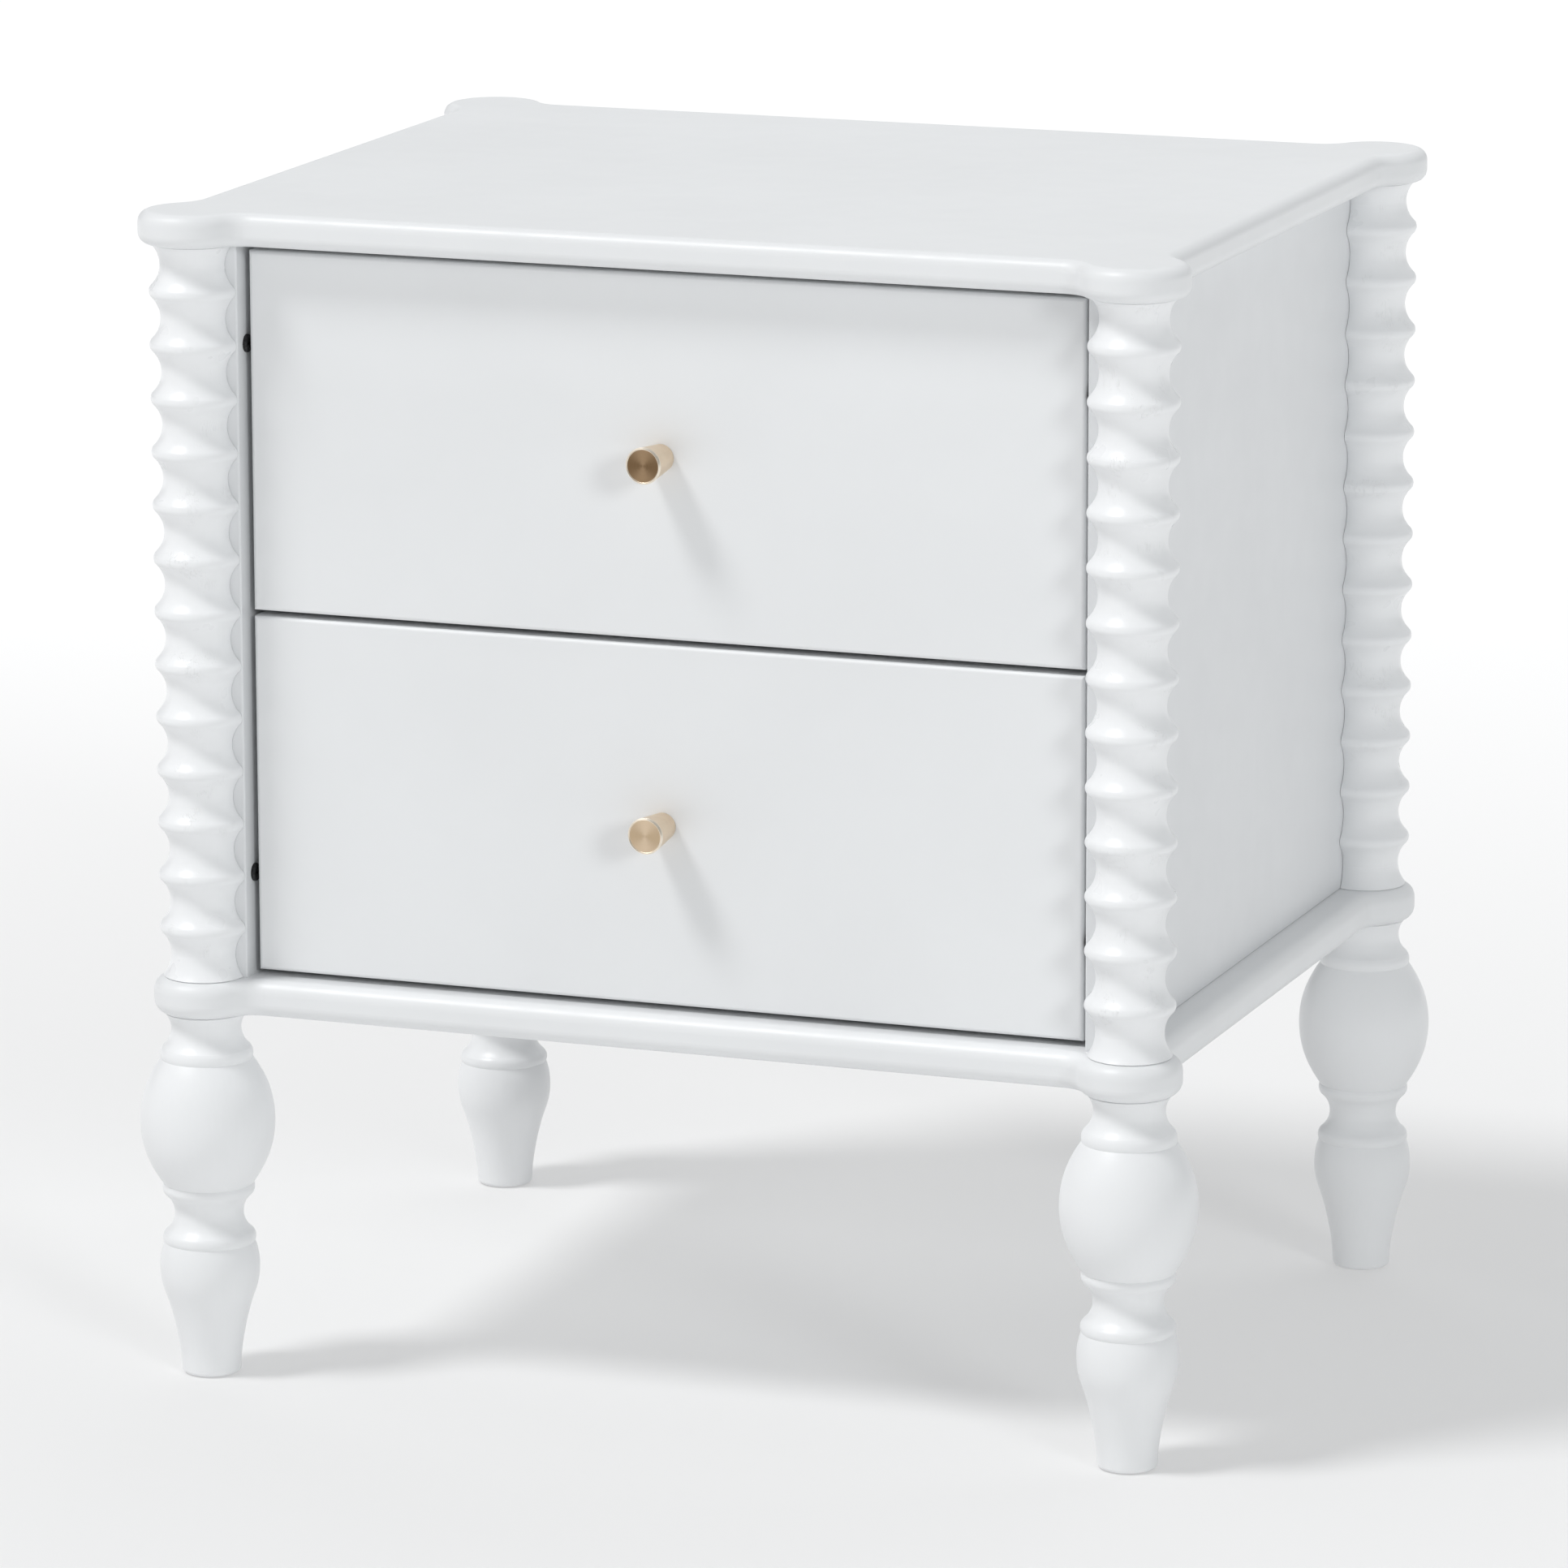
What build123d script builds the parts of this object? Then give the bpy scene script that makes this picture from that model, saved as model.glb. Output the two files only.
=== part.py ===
from build123d import *
import math
import os

os.makedirs("parts", exist_ok=True)

# Two-drawer nightstand with spool-turned corner columns. Millimetres, +Z up, front towards -Y,
# origin on the floor under the middle of the top.

# ---------------------------------------------------------------- driving dimensions
AXIS_X = 246.5             # corner axis shared by column and leg, sideways from the middle
AXIS_Y = 198.0             # the same, front to back
LEG_TOP = 189.5            # underside of the bottom panel
BOTTOM_T = 19.0
TOP_T = 17.0
HEIGHT = 600.0
COLUMN_LOW = LEG_TOP + BOTTOM_T
COLUMN_HIGH = HEIGHT - TOP_T

# panel outlines: straight sides with a round ear under or over every corner
TOP_EAR_R = 27.5
TOP_HALF_X = 259.0
TOP_HALF_Y = 206.5
TOP_EDGE_R = 6.0
BOTTOM_EAR_R = 26.0
BOTTOM_HALF_X = 257.0
BOTTOM_HALF_Y = 204.5
BOTTOM_EDGE_R = 7.0
BLEND_FRONT_R = 14.0       # hollow curve between an ear and the front or back edge
BLEND_SIDE_R = 18.0        # the same towards a side edge

# turned columns
RING_COUNT = 13
RING_PITCH = 27.08
FIRST_RING = 25.5          # centre of the lowest ring above the column's foot
RING_R = 22.6
COVE_R = 16.95             # smallest radius, half way between two rings
COVE_ARC_R = 15.0
COLUMN_END_R = 21.0
END_BREAK = 0.4            # broken edge round the end of a turned part
SEAM = 0.2                 # open joint line between a column's notch and the panel it fits over

# side and back panels
SIDE_IN = 223.3
SIDE_OUT = 238.3
SIDE_CORNER_R = 1.0
SIDE_FOOT_BREAK = 0.5      # broken lower edge outside, which leaves a fine line on the bottom panel
BACK_T = 5.0
BACK_HALF_X = 230.3
BACK_REBATE_X = 230.5

# drawers
DRAWER_TRAVEL = 240.0
FRONT_HALF_X = 219.8
FRONT_FACE_Y = -191.0
FRONT_T = 18.0
FRONT_H = 182.5
FRONT_EDGE_R = 2.0
FRONT_LOW = {"lower": COLUMN_LOW + 3.0, "upper": COLUMN_LOW + 6.0 + FRONT_H}
BOX_OUT = 210.3            # outer face of a drawer side
BOX_T = 12.0
BOX_RISE = 12.0            # box bottom edge above the front's bottom edge
BOX_H = 145.0
BOX_END_Y = 177.0
GROOVE_DEPTH = 5.0
GROOVE_RISE = 9.0
DRAWER_BOTTOM_T = 5.0

# knob
KNOB_REACH = 25.0
KNOB_FACE_R = 9.2
KNOB_BASE_R = 6.9

# ball-bearing slides, measured from the side panel's inner face towards the drawer
SLIDE_FRONT_Y = -170.0
SLIDE_BACK_Y = 180.0
SLIDE_RISE = 45.0          # slide centre above the drawer box's bottom edge
SLIDE_SHEET = 1.2
OUTER_HALF_H = 17.5
OUTER_DEPTH = 8.6
INNER_HALF_H = 11.3
INNER_START = 5.3
INNER_END = SIDE_IN - BOX_OUT
CAGE_FRONT_Y = SLIDE_FRONT_Y + DRAWER_TRAVEL / 2 + 2.0   # a cage moves half as far as its drawer
CAGE_LENGTH = 100.0
CAGE_SHEET = 0.8
CAGE_START = 4.2
CAGE_END = 9.2
CAGE_HALF_H = 14.2
BALL_R = 2.2
BALL_DEPTH = 6.9

# fixings
FIT = 0.05                 # radial room round a pin in its hole
LEG_BOLT_R = 4.0
LEG_BOLT_IN_LEG = 32.0
INSERT_R = 5.5
INSERT_LENGTH = 11.0
COLUMN_DOWEL_R = 4.0
COLUMN_SCREW_Y = AXIS_Y - 11.0
COLUMN_SCREW_R = 2.0
COLUMN_SCREW_HEAD_R = 4.6
COLUMN_SCREW_HEAD_T = 2.0
COLUMN_SCREW_IN = 26.0
CAM_R = 7.5
CAM_DEPTH = 12.0
CAM_FROM_EDGE = 34.0
CAM_Y = 110.0
CAM_BOLT_R = 3.5
PANEL_DOWEL_Y = 150.0
PANEL_DOWEL_R = 4.0
BOX_DOWEL_R = 3.0
KNOB_SCREW_R = 2.0

CORNERS = {
    "front_left": (-1, -1),
    "front_right": (1, -1),
    "back_left": (-1, 1),
    "back_right": (1, 1),
}
SIDES = {"left": -1, "right": 1}


# ---------------------------------------------------------------- helpers
def block(x0, x1, y0, y1, z0, z1):
    size = (abs(x1 - x0), abs(y1 - y0), abs(z1 - z0))
    return Pos((x0 + x1) / 2, (y0 + y1) / 2, (z0 + z1) / 2) * Box(*size)


def rod(start, direction, radius, length):
    """Round bar from start along direction."""
    return Plane(origin=start, z_dir=direction) * Cylinder(
        radius, length, align=(Align.CENTER, Align.CENTER, Align.MIN))


def turned(edges):
    """Solid of revolution about Z from a closed chain of edges drawn in the XZ plane."""
    return revolve(make_face(edges), axis=Axis.Z)


def pan_screw(start, direction, length, radius, head_r, head_t):
    """Pan-head screw; start is on the seat, direction is the way the screw goes in."""
    shank = rod(start, direction, radius, length)
    head = rod(start, [-d for d in direction], head_r, head_t)
    rim = head.faces().sort_by(Axis(start, direction))[0].edges()
    head = fillet(rim, head_t * 0.45)
    return shank + head


# ---------------------------------------------------------------- panels with ears
def eared_panel(half_x, half_y, ear_r, low, thickness, edge_r):
    outline = Rectangle(2 * half_x, 2 * half_y)
    for sx, sy in CORNERS.values():
        outline += Pos(sx * AXIS_X, sy * AXIS_Y) * Circle(ear_r)
    reach = ear_r + max(BLEND_FRONT_R, BLEND_SIDE_R)
    front_notches = [v for v in outline.vertices() if abs(abs(v.Y) - half_y) < 0.01 and abs(v.X) < AXIS_X]
    outline = fillet(front_notches, BLEND_FRONT_R)
    side_notches = [
        v for v in outline.vertices()
        if abs(abs(v.X) - half_x) < 0.01 and abs(v.Y) < AXIS_Y and AXIS_Y - abs(v.Y) < reach
    ]
    outline = fillet(side_notches, BLEND_SIDE_R)
    panel = Pos(0, 0, low) * extrude(outline, thickness)
    rims = panel.faces().sort_by(Axis.Z)[-1].edges() + panel.faces().sort_by(Axis.Z)[0].edges()
    return fillet(rims, edge_r)


def cam_places(z_edge, inward):
    """Cam centres of both side panels for the joint at height z_edge."""
    z = z_edge + inward * CAM_FROM_EDGE
    return [(sx, sy * CAM_Y, z) for sx in (-1, 1) for sy in (-1, 1)]


def dowel_places():
    return [(sx * (SIDE_IN + SIDE_OUT) / 2, sy * PANEL_DOWEL_Y) for sx in (-1, 1) for sy in (-1, 1)]


def top_panel():
    panel = eared_panel(TOP_HALF_X, TOP_HALF_Y, TOP_EAR_R, COLUMN_HIGH, TOP_T, TOP_EDGE_R)
    for sx, sy in CORNERS.values():
        panel -= rod((sx * AXIS_X, sy * AXIS_Y, COLUMN_HIGH), (0, 0, 1), COLUMN_DOWEL_R + FIT, 12.5)
    for x, y in dowel_places():
        panel -= rod((x, y, COLUMN_HIGH), (0, 0, 1), PANEL_DOWEL_R + FIT, 12.5)
    for sx, y, _ in cam_places(COLUMN_HIGH, -1):
        panel -= rod((sx * (SIDE_IN + SIDE_OUT) / 2, y, COLUMN_HIGH), (0, 0, 1), CAM_BOLT_R + FIT, 11.5)
    return panel


def bottom_panel():
    panel = eared_panel(BOTTOM_HALF_X, BOTTOM_HALF_Y, BOTTOM_EAR_R, LEG_TOP, BOTTOM_T, BOTTOM_EDGE_R)
    for sx, sy in CORNERS.values():
        panel -= rod((sx * AXIS_X, sy * AXIS_Y, LEG_TOP), (0, 0, 1), INSERT_R + FIT, INSERT_LENGTH)
        panel -= rod((sx * AXIS_X, sy * AXIS_Y, COLUMN_LOW), (0, 0, -1), COLUMN_DOWEL_R + FIT, 7.0)
    for x, y in dowel_places():
        panel -= rod((x, y, COLUMN_LOW), (0, 0, -1), PANEL_DOWEL_R + FIT, 12.5)
    for sx, y, _ in cam_places(COLUMN_LOW, 1):
        panel -= rod((sx * (SIDE_IN + SIDE_OUT) / 2, y, COLUMN_LOW), (0, 0, -1), CAM_BOLT_R + FIT, 11.5)
    return panel


def side_panel(sx):
    panel = block(sx * SIDE_IN, sx * SIDE_OUT, -AXIS_Y, AXIS_Y, COLUMN_LOW, COLUMN_HIGH)
    corner = [
        e for e in panel.edges().filter_by(Axis.Z)
        if abs(abs(e.center().X) - SIDE_IN) < 0.01 and e.center().Y < 0
    ]
    panel = fillet(corner, SIDE_CORNER_R)
    foot = [
        e for e in panel.edges().filter_by(Axis.Y)
        if abs(abs(e.center().X) - SIDE_OUT) < 0.01 and abs(e.center().Z - COLUMN_LOW) < 0.01
    ]
    panel = chamfer(foot, SIDE_FOOT_BREAK)
    panel -= block(sx * (SIDE_IN - 1), sx * BACK_REBATE_X, AXIS_Y - BACK_T, AXIS_Y + 1,
                   COLUMN_LOW - 1, COLUMN_HIGH + 1)
    middle = sx * (SIDE_IN + SIDE_OUT) / 2
    for z_edge, inward in ((COLUMN_HIGH, -1), (COLUMN_LOW, 1)):
        for side, y, z in cam_places(z_edge, inward):
            if side == sx:
                panel -= rod((sx * SIDE_IN, y, z), (sx, 0, 0), CAM_R + FIT, CAM_DEPTH + 0.2)
                panel -= rod((middle, y, z_edge), (0, 0, inward), CAM_BOLT_R + FIT, CAM_FROM_EDGE)
        for sy in (-1, 1):
            panel -= rod((middle, sy * PANEL_DOWEL_Y, z_edge), (0, 0, inward), PANEL_DOWEL_R + FIT, 18.5)
    for sy in (-1, 1):
        for z in column_screw_heights():
            panel -= rod((sx * (SIDE_IN - 1), sy * COLUMN_SCREW_Y, z), (sx, 0, 0), COLUMN_SCREW_R + FIT, 17)
    for level in FRONT_LOW:
        for y in slide_screw_ys():
            panel -= rod((sx * SIDE_IN, y, slide_height(level)), (sx, 0, 0), 1.7 + FIT, 11.5)
    for z in back_screw_heights():
        panel -= rod((sx * 227, AXIS_Y - BACK_T, z), (0, -1, 0), 1.5 + FIT, 13.5)
    return panel


def back_panel():
    panel = block(-BACK_HALF_X, BACK_HALF_X, AXIS_Y - BACK_T, AXIS_Y, COLUMN_LOW + 0.3, COLUMN_HIGH - 0.3)
    for sx in (-1, 1):
        for z in back_screw_heights():
            panel -= rod((sx * 227, AXIS_Y + 1, z), (0, -1, 0), 1.5 + FIT, BACK_T + 2)
            panel -= back_screw_head(sx, z, 0.15)
    return panel


# ---------------------------------------------------------------- turned work
def column_profile():
    """Closed half profile of a column standing on its own foot, in the XZ plane."""
    length = COLUMN_HIGH - COLUMN_LOW
    last = FIRST_RING + (RING_COUNT - 1) * RING_PITCH
    half = RING_PITCH / 2
    rise = RING_R - COVE_R
    tip_r = half ** 2 / (2 * rise) + rise / 2 - COVE_ARC_R
    share = tip_r / (tip_r + COVE_ARC_R)
    joint_z = half * share
    joint_r = RING_R - tip_r + (COVE_R + COVE_ARC_R - RING_R + tip_r) * share
    edges = []
    low_cove = FIRST_RING - half
    high_cove = last + half
    edges.append(Line((0, 0, 0), (COLUMN_END_R - END_BREAK, 0, 0)))
    edges.append(Line((COLUMN_END_R - END_BREAK, 0, 0), (COLUMN_END_R, 0, END_BREAK)))
    edges.append(end_arc(END_BREAK, low_cove))
    for i in range(RING_COUNT):
        z = FIRST_RING + i * RING_PITCH
        if i:
            edges.append(ThreePointArc((joint_r, 0, z - RING_PITCH + joint_z), (COVE_R, 0, z - half),
                                       (joint_r, 0, z - joint_z)))
        edges.append(ThreePointArc((joint_r, 0, z - joint_z), (RING_R, 0, z), (joint_r, 0, z + joint_z)))
    turn = math.atan2(half - joint_z, COVE_R + COVE_ARC_R - joint_r) / 2
    mid_r = COVE_R + COVE_ARC_R * (1 - math.cos(turn))
    mid_z = COVE_ARC_R * math.sin(turn)
    edges.append(ThreePointArc((COVE_R, 0, low_cove), (mid_r, 0, low_cove + mid_z),
                               (joint_r, 0, FIRST_RING - joint_z)))
    edges.append(ThreePointArc((COVE_R, 0, high_cove), (mid_r, 0, high_cove - mid_z),
                               (joint_r, 0, last + joint_z)))
    edges.append(end_arc(length - END_BREAK, high_cove))
    edges.append(Line((COLUMN_END_R, 0, length - END_BREAK), (COLUMN_END_R - END_BREAK, 0, length)))
    edges.append(Line((COLUMN_END_R - END_BREAK, 0, length), (0, 0, length)))
    edges.append(Line((0, 0, length), (0, 0, 0)))
    return edges


def end_arc(z_end, z_cove):
    """Cove that opens out to the end face of a column."""
    dr = COLUMN_END_R - COVE_R
    dz = abs(z_cove - z_end)
    radius = (dz ** 2 + dr ** 2) / (2 * dr)
    turn = math.asin(dz / radius) / 2
    toward = 1 if z_end > z_cove else -1
    mid = (COVE_R + radius * (1 - math.cos(turn)), 0, z_cove + toward * radius * math.sin(turn))
    return ThreePointArc((COVE_R, 0, z_cove), mid, (COLUMN_END_R, 0, z_end))


def column(sx, sy):
    """Spool-turned column with a square notch that fits over the side panel's edge."""
    body = Pos(sx * AXIS_X, sy * AXIS_Y, COLUMN_LOW) * turned(column_profile())
    body -= block(sx * (AXIS_X - 40), sx * (SIDE_OUT + SEAM), sy * (AXIS_Y - 40), sy * (AXIS_Y + SEAM),
                  COLUMN_LOW - 1, COLUMN_HIGH + 1)
    body -= rod((sx * AXIS_X, sy * AXIS_Y, COLUMN_LOW), (0, 0, 1), COLUMN_DOWEL_R + FIT, 20.5)
    body -= rod((sx * AXIS_X, sy * AXIS_Y, COLUMN_HIGH), (0, 0, -1), COLUMN_DOWEL_R + FIT, 20.5)
    for z in column_screw_heights():
        body -= rod((sx * SIDE_OUT, sy * COLUMN_SCREW_Y, z), (sx, 0, 0), COLUMN_SCREW_R + FIT,
                    COLUMN_SCREW_IN - (SIDE_OUT - SIDE_IN) + 0.5)
    return body


def leg_profile():
    """Closed half profile of a leg, foot at zero: tapered foot, two hollows, three beads, one belly."""
    return [
        Line((0, 0, 0), (13.0, 0, 0)),
        ThreePointArc((13.0, 0, 0), (14.4, 0, 0.6), (15.0, 0, 2.0)),
        Spline((15.0, 0, 2.0), (17.2, 0, 21.0), (21.8, 0, 39.0), (25.4, 0, 56.0),
               tangents=[(0.02, 0, 1), (0, 0, 1)]),
        ThreePointArc((25.4, 0, 56.0), (24.8, 0, 63.0), (23.1, 0, 69.0)),
        ThreePointArc((23.1, 0, 69.0), (23.7, 0, 71.6), (22.3, 0, 74.6)),
        ThreePointArc((22.3, 0, 74.6), (17.5, 0, 84.2), (21.7, 0, 93.6)),
        ThreePointArc((21.7, 0, 93.6), (23.5, 0, 96.8), (22.9, 0, 99.7)),
        Spline((22.9, 0, 99.7), (26.95, 0, 106.0), (31.2, 0, 115.0), (34.3, 0, 132.0), (31.1, 0, 151.0),
               (28.4, 0, 157.0), (23.3, 0, 165.3)),
        ThreePointArc((23.3, 0, 165.3), (23.6, 0, 168.4), (22.4, 0, 171.2)),
        ThreePointArc((22.4, 0, 171.2), (17.8, 0, 180.8), (20.8, 0, LEG_TOP - END_BREAK)),
        Line((20.8, 0, LEG_TOP - END_BREAK), (20.8 - END_BREAK, 0, LEG_TOP)),
        Line((20.8 - END_BREAK, 0, LEG_TOP), (0, 0, LEG_TOP)),
        Line((0, 0, LEG_TOP), (0, 0, 0)),
    ]


def leg(sx, sy):
    body = Pos(sx * AXIS_X, sy * AXIS_Y, 0) * turned(leg_profile())
    return body - rod((sx * AXIS_X, sy * AXIS_Y, LEG_TOP), (0, 0, -1), LEG_BOLT_R + FIT, LEG_BOLT_IN_LEG + 2)


# ---------------------------------------------------------------- case fixings
def column_screw_heights():
    """Level with the second ring from either end."""
    return [COLUMN_LOW + FIRST_RING + i * RING_PITCH for i in (1, RING_COUNT - 2)]


def back_screw_heights():
    step = (COLUMN_HIGH - COLUMN_LOW - 60) / 3
    return [COLUMN_LOW + 30 + i * step for i in range(4)]


def back_screw_head(sx, z, room):
    """Countersunk head, level with the back panel's outer face."""
    cone = Cone(3.0 + room, 1.5 + room, 1.6, align=(Align.CENTER, Align.CENTER, Align.MIN))
    return Plane(origin=(sx * 227, AXIS_Y, z), z_dir=(0, -1, 0)) * cone


def back_screws():
    group = []
    for sx in (-1, 1):
        for z in back_screw_heights():
            shank = rod((sx * 227, AXIS_Y - 0.5, z), (0, -1, 0), 1.5, 16)
            group.append(shank + back_screw_head(sx, z, 0))
    return Compound(children=group)


def leg_bolt(sx, sy):
    bolt = rod((sx * AXIS_X, sy * AXIS_Y, LEG_TOP - LEG_BOLT_IN_LEG), (0, 0, 1), LEG_BOLT_R,
               LEG_BOLT_IN_LEG + INSERT_LENGTH - 0.5)
    return chamfer(bolt.edges().filter_by(GeomType.CIRCLE), 0.8)


def leg_inserts():
    group = []
    for sx, sy in CORNERS.values():
        sleeve = rod((sx * AXIS_X, sy * AXIS_Y, LEG_TOP), (0, 0, 1), INSERT_R, INSERT_LENGTH)
        group.append(sleeve - rod((sx * AXIS_X, sy * AXIS_Y, LEG_TOP - 1), (0, 0, 1), LEG_BOLT_R + FIT,
                                  INSERT_LENGTH + 2))
    return Compound(children=group)


def column_screws(sx):
    group = []
    for sy in (-1, 1):
        for z in column_screw_heights():
            start = (sx * SIDE_IN, sy * COLUMN_SCREW_Y, z)
            group.append(pan_screw(start, (sx, 0, 0), COLUMN_SCREW_IN, COLUMN_SCREW_R,
                                      COLUMN_SCREW_HEAD_R, COLUMN_SCREW_HEAD_T))
    return Compound(children=group)


def column_dowels():
    group = []
    for sx, sy in CORNERS.values():
        x = sx * AXIS_X
        y = sy * AXIS_Y
        group.append(rod((x, y, COLUMN_HIGH - 20), (0, 0, 1), COLUMN_DOWEL_R, 32))
        group.append(rod((x, y, COLUMN_LOW - 6.5), (0, 0, 1), COLUMN_DOWEL_R, 26))
    return Compound(children=group)


def panel_dowels():
    group = []
    for x, y in dowel_places():
        group.append(rod((x, y, COLUMN_HIGH - 18), (0, 0, 1), PANEL_DOWEL_R, 30))
        group.append(rod((x, y, COLUMN_LOW - 12), (0, 0, 1), PANEL_DOWEL_R, 30))
    return Compound(children=group)


def panel_cams():
    """Round cams let into the side panels; each has a mouth for its bolt's head."""
    group = []
    for z_edge, inward in ((COLUMN_HIGH, -1), (COLUMN_LOW, 1)):
        for sx, y, z in cam_places(z_edge, inward):
            cam = rod((sx * (SIDE_IN + 0.2), y, z), (sx, 0, 0), CAM_R, CAM_DEPTH - 0.2)
            middle = sx * (SIDE_IN + SIDE_OUT) / 2
            cam -= rod((middle, y, z), (0, 0, -inward), CAM_BOLT_R + 0.4, CAM_R + 1)
            cam -= block(sx * SIDE_IN, sx * (SIDE_IN + 2.2), y - 0.6, y + 0.6, z - 4, z + 4)
            cam -= block(sx * SIDE_IN, sx * (SIDE_IN + 2.2), y - 4, y + 4, z - 0.6, z + 0.6)
            group.append(cam)
    return Compound(children=group)


def panel_cam_bolts():
    group = []
    for z_edge, inward in ((COLUMN_HIGH, -1), (COLUMN_LOW, 1)):
        for sx, y, z in cam_places(z_edge, inward):
            x = sx * (SIDE_IN + SIDE_OUT) / 2
            head_end = CAM_FROM_EDGE - 1.0
            neck = rod((x, y, z_edge - inward * 11), (0, 0, inward), CAM_BOLT_R, 11 + head_end - 7)
            waist = rod((x, y, z_edge + inward * (head_end - 7)), (0, 0, inward), 2.0, 4)
            head = rod((x, y, z_edge + inward * (head_end - 3)), (0, 0, inward), CAM_BOLT_R, 3)
            group.append(neck + waist + head)
    return Compound(children=group)


# ---------------------------------------------------------------- slides
def slide_height(level):
    return FRONT_LOW[level] + BOX_RISE + SLIDE_RISE


def slide_screw_ys():
    return [SLIDE_FRONT_Y + 24, (SLIDE_FRONT_Y + SLIDE_BACK_Y) / 2, SLIDE_BACK_Y - 24]


def channel(sx, z, web, tip, half_h, sheet):
    """C-section rail: web and tip are depths from the side panel's inner face."""
    toward = 1 if tip > web else -1
    outer = block(sx * (SIDE_IN - web), sx * (SIDE_IN - tip), SLIDE_FRONT_Y, SLIDE_BACK_Y,
                  z - half_h, z + half_h)
    bends = [e for e in outer.edges().filter_by(Axis.Y) if abs(abs(e.center().X) - (SIDE_IN - web)) < 0.01]
    outer = fillet(bends, 2.0)
    hollow = block(sx * (SIDE_IN - web - toward * sheet), sx * (SIDE_IN - tip - toward * 5),
                   SLIDE_FRONT_Y - 1, SLIDE_BACK_Y + 1, z - half_h + sheet, z + half_h - sheet)
    return outer - hollow


def slide_outer(sx, level):
    z = slide_height(level)
    rail = channel(sx, z, 0, OUTER_DEPTH, OUTER_HALF_H, SLIDE_SHEET)
    for y in slide_screw_ys():
        rail -= rod((sx * (SIDE_IN + 1), y, z), (-sx, 0, 0), 1.7 + FIT, 4)
    return rail


def slide_inner(sx, level):
    z = slide_height(level)
    rail = channel(sx, z, INNER_END, INNER_START, INNER_HALF_H, SLIDE_SHEET)
    for y in slide_screw_ys():
        rail -= rod((sx * (BOX_OUT - 1), y, z), (sx, 0, 0), 1.7 + FIT, 4)
    return rail


def slide_cage(sx, level):
    """Ball retainer: a thin C-section strip with a row of balls in each lip."""
    z = slide_height(level)
    y1 = CAGE_FRONT_Y + CAGE_LENGTH
    shell = block(sx * (SIDE_IN - CAGE_START), sx * (SIDE_IN - CAGE_END), CAGE_FRONT_Y, y1,
                  z - CAGE_HALF_H, z + CAGE_HALF_H)
    shell -= block(sx * (SIDE_IN - CAGE_START - CAGE_SHEET), sx * (SIDE_IN - CAGE_END - 1),
                   CAGE_FRONT_Y - 1, y1 + 1, z - CAGE_HALF_H + CAGE_SHEET, z + CAGE_HALF_H - CAGE_SHEET)
    shell -= block(sx * SIDE_IN, sx * (SIDE_IN - CAGE_START - 1), CAGE_FRONT_Y + 12, y1 - 12, z - 7, z + 7)
    count = 8
    step = (CAGE_LENGTH - 16) / (count - 1)
    for i in range(count):
        for up in (-1, 1):
            centre = (sx * (SIDE_IN - BALL_DEPTH), CAGE_FRONT_Y + 8 + i * step,
                      z + up * (CAGE_HALF_H - CAGE_SHEET / 2))
            shell += Pos(*centre) * Sphere(BALL_R)
    return shell


def slide_screws_case(sx):
    group = []
    for level in FRONT_LOW:
        for y in slide_screw_ys():
            start = (sx * (SIDE_IN - SLIDE_SHEET), y, slide_height(level))
            group.append(pan_screw(start, (sx, 0, 0), 12, 1.7, 3.4, 2.0))
    return Compound(children=group)


def slide_screws_drawer(level):
    group = []
    for sx in (-1, 1):
        for y in slide_screw_ys():
            start = (sx * (BOX_OUT + SLIDE_SHEET), y, slide_height(level))
            group.append(pan_screw(start, (-sx, 0, 0), 11, 1.7, 3.4, 2.0))
    return Compound(children=group)


# ---------------------------------------------------------------- drawers
def box_low(level):
    return FRONT_LOW[level] + BOX_RISE


def drawer_bottom_block(level, room):
    z = box_low(level) + GROOVE_RISE
    front = FRONT_FACE_Y + FRONT_T
    return block(-BOX_OUT + BOX_T - GROOVE_DEPTH - room, BOX_OUT - BOX_T + GROOVE_DEPTH + room,
                 front - GROOVE_DEPTH - room, BOX_END_Y - BOX_T + GROOVE_DEPTH + room,
                 z - room / 4, z + DRAWER_BOTTOM_T + room / 4)


def box_dowel_heights(level):
    return [box_low(level) + 40, box_low(level) + 110]


def drawer_front(level):
    low = FRONT_LOW[level]
    back = FRONT_FACE_Y + FRONT_T
    front = block(-FRONT_HALF_X, FRONT_HALF_X, FRONT_FACE_Y, back, low, low + FRONT_H)
    front = fillet(front.faces().sort_by(Axis.Y)[0].edges(), FRONT_EDGE_R)
    front -= drawer_bottom_block(level, 0.4)
    middle = low + FRONT_H / 2
    front -= rod((0, FRONT_FACE_Y - 1, middle), (0, 1, 0), KNOB_SCREW_R + 0.2, FRONT_T + 2)
    for sx in (-1, 1):
        for z in box_dowel_heights(level):
            front -= rod((sx * (BOX_OUT - BOX_T / 2), back, z), (0, -1, 0), BOX_DOWEL_R + FIT, 12.5)
    return front


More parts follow.
